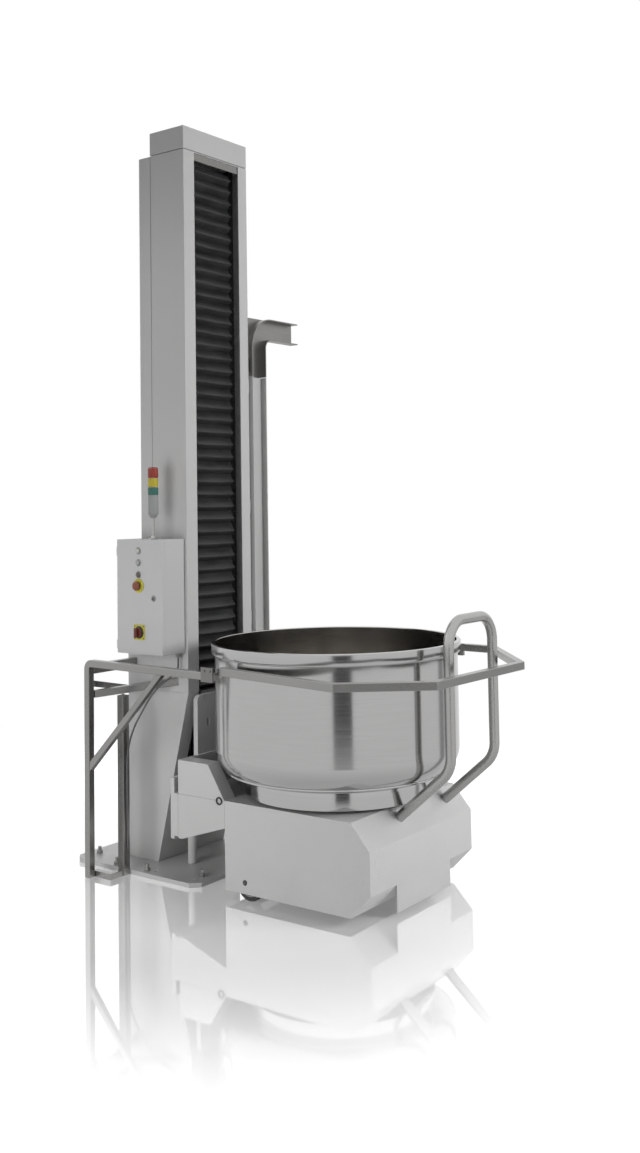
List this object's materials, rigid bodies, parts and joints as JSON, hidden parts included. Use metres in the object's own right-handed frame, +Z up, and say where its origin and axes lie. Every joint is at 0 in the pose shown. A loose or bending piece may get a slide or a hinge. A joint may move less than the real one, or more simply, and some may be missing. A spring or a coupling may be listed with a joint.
{
  "type": "bowl lift",
  "caption": "Column lift that raises and tips a wheeled mixing bowl, with guide, guard rails, gate and control box",
  "frame": {"origin": "centre of the four corner anchor holes, on the base plate's underside (the floor)", "axes": "+Z up along the column; -Y is the side the bowl trolley stands on; +X is towards the tipping guide"},
  "size_m": [1.251, 1.913, 3.19],
  "materials": {
    "column_paint": "satin light grey powder coat",
    "guide_paint": "satin light grey powder coat",
    "cover_steel": "brushed",
    "frame_steel": "brushed, unpainted",
    "fence_steel": "brushed square tube",
    "bowl_steel": "polished stainless steel",
    "handle_steel": "fine brushed round tube",
    "zinc": "zinc plated",
    "machined": "oiled steel",
    "bellows_cloth": "coated cloth, folded",
    "trolley_paint": "satin off-white",
    "box_paint": "satin light grey",
    "black_plastic": "matt black",
    "button_white_p": "gloss",
    "button_clear_p": "clear lens",
    "button_red_p": "tinted lens",
    "stop_red": "gloss red",
    "lamp_red_p": "ribbed lens",
    "lamp_amber_p": "ribbed lens",
    "lamp_green_p": "ribbed lens",
    "grey_plastic": "matt grey",
    "wheel_rubber": "solid tyre",
    "cable_black": "matt sheath"
  },
  "bodies": {
    "stand": {"base_plate": "column_paint", "levelling_screws": "zinc", "pedestal_shell": "column_paint", "column_shell": "column_paint", "rear_cover": "column_paint", "top_cap": "column_paint", "lintel_strip": "cover_steel", "carriage_rails": "machined", "drive_gearmotor": "grey_plastic", "lift_chain": "machined", "bellows": "bellows_cloth", "guide_channel": "guide_paint", "guide_curve": "cover_steel", "control_box": "box_paint", "cable_gland": "grey_plastic", "stack_pole": "grey_plastic", "lamp_green": "lamp_green_p", "lamp_amber": "lamp_amber_p", "lamp_red": "lamp_red_p", "guard_rail_left": "fence_steel", "guard_rail_right": "fence_steel", "guard_ties": "fence_steel", "guard_post_mid": "fence_steel", "gate_switch": "cover_steel", "gate_hinge": "fence_steel", "buffer_posts": "column_paint", "switch_cable": "cable_black"},
    "sprocket_low": {"sprocket_lower": "machined"},
    "sprocket_high": {"sprocket_upper": "machined"},
    "carriage": {"carriage_plate": "column_paint", "carriage_frame": "frame_steel", "guide_shoes": "black_plastic", "pivot_housing": "machined"},
    "tipper": {"pivot_shaft": "machined", "tipping_plate": "column_paint", "tipping_beam": "column_paint", "tipping_arm_left": "column_paint", "tipping_arm_right": "column_paint", "hook_ring": "black_plastic", "roller_lever": "frame_steel", "trolley_housing": "trolley_paint", "trolley_chassis": "trolley_paint", "bearing_ring": "machined", "push_handle": "handle_steel"},
    "roller": {"follower_roller": "machined"},
    "left_wheel": {"wheel_left": "wheel_rubber"},
    "right_wheel": {"wheel_right": "wheel_rubber"},
    "castor": {"castor_fork": "zinc"},
    "castor_roller": {"castor_wheel": "wheel_rubber"},
    "bowl_set": {"bowl": "bowl_steel", "bowl_skirt": "bowl_steel"},
    "gate": {"guard_gate": "fence_steel"},
    "door": {"box_door": "box_paint", "panel_bezels": "black_plastic"},
    "white_button": {"button_white": "button_white_p"},
    "clear_button": {"button_clear": "button_clear_p"},
    "red_button": {"button_red": "button_red_p"},
    "stop_button": {"estop_button": "stop_red"},
    "switch_knob": {"main_switch_knob": "stop_red"},
    "lock": {"door_lock": "zinc"}
  },
  "joints": [
    {"name": "lift", "type": "slide", "parent": "stand", "child": "carriage", "axis": [0, 0, 1], "range_m": [0, 2.18], "deforming": ["bellows"]},
    {"name": "tilt", "type": "hinge", "parent": "carriage", "child": "tipper", "pos_m": [0.108, -0.235, 0.41], "axis": [0, 1, 0], "range_deg": [0, 101.5]},
    {"name": "sprocket_lower_turn", "type": "hinge", "parent": "stand", "child": "sprocket_low", "pos_m": [0, -0.042, 0.3], "axis": [0, 1, 0], "range_deg": [0, 2499]},
    {"name": "sprocket_upper_turn", "type": "hinge", "parent": "stand", "child": "sprocket_high", "pos_m": [0, -0.042, 2.99], "axis": [0, 1, 0], "range_deg": [0, 2499]},
    {"name": "roller_spin", "type": "hinge", "parent": "tipper", "child": "roller", "pos_m": [0.275, -0.235, 0.7734], "axis": [0, 1, 0], "continuous": true},
    {"name": "bowl_spin", "type": "hinge", "parent": "tipper", "child": "bowl_set", "pos_m": [0, -0.811, 0.376], "axis": [0, 0, 1], "continuous": true},
    {"name": "wheel_left_spin", "type": "hinge", "parent": "tipper", "child": "left_wheel", "pos_m": [-0.336, -0.631, 0.0625], "axis": [1, 0, 0], "continuous": true},
    {"name": "wheel_right_spin", "type": "hinge", "parent": "tipper", "child": "right_wheel", "pos_m": [0.336, -0.631, 0.0625], "axis": [1, 0, 0], "continuous": true},
    {"name": "castor_swivel", "type": "hinge", "parent": "tipper", "child": "castor", "pos_m": [0, -1.03, 0.128], "axis": [0, 0, 1], "continuous": true},
    {"name": "castor_spin", "type": "hinge", "parent": "castor", "child": "castor_roller", "pos_m": [0, -1.002, 0.05], "axis": [1, 0, 0], "continuous": true},
    {"name": "gate_swing", "type": "hinge", "parent": "stand", "child": "gate", "pos_m": [0.604, -1.054, 0.89], "axis": [0, 0, 1], "range_deg": [0, 95]},
    {"name": "door_swing", "type": "hinge", "parent": "stand", "child": "door", "pos_m": [-0.34215, 0.091, 0.916], "axis": [0, 0, -1], "range_deg": [0, 110]},
    {"name": "button_white_push", "type": "slide", "parent": "door", "child": "white_button", "axis": [1, 0, 0], "range_m": [0, 0.002], "stiffness_N_per_m": 300},
    {"name": "button_clear_push", "type": "slide", "parent": "door", "child": "clear_button", "axis": [1, 0, 0], "range_m": [0, 0.002], "stiffness_N_per_m": 300},
    {"name": "button_red_push", "type": "slide", "parent": "door", "child": "red_button", "axis": [1, 0, 0], "range_m": [0, 0.002], "stiffness_N_per_m": 300},
    {"name": "estop_push", "type": "slide", "parent": "door", "child": "stop_button", "axis": [1, 0, 0], "range_m": [0, 0.004], "stiffness_N_per_m": 300},
    {"name": "main_switch_turn", "type": "hinge", "parent": "door", "child": "switch_knob", "pos_m": [-0.351, -0.046, 1.008], "axis": [1, 0, 0], "range_deg": [0, 90]},
    {"name": "lock_turn", "type": "hinge", "parent": "door", "child": "lock", "pos_m": [-0.351, -0.129, 1.152], "axis": [1, 0, 0], "range_deg": [0, 90]}
  ],
  "couplings": [
    {"joint": "tilt", "follows": "lift", "rad_per_m": 0.81261},
    {"joint": "sprocket_lower_turn", "follows": "lift", "rad_per_m": 20},
    {"joint": "sprocket_upper_turn", "follows": "lift", "rad_per_m": 20}
  ]
}
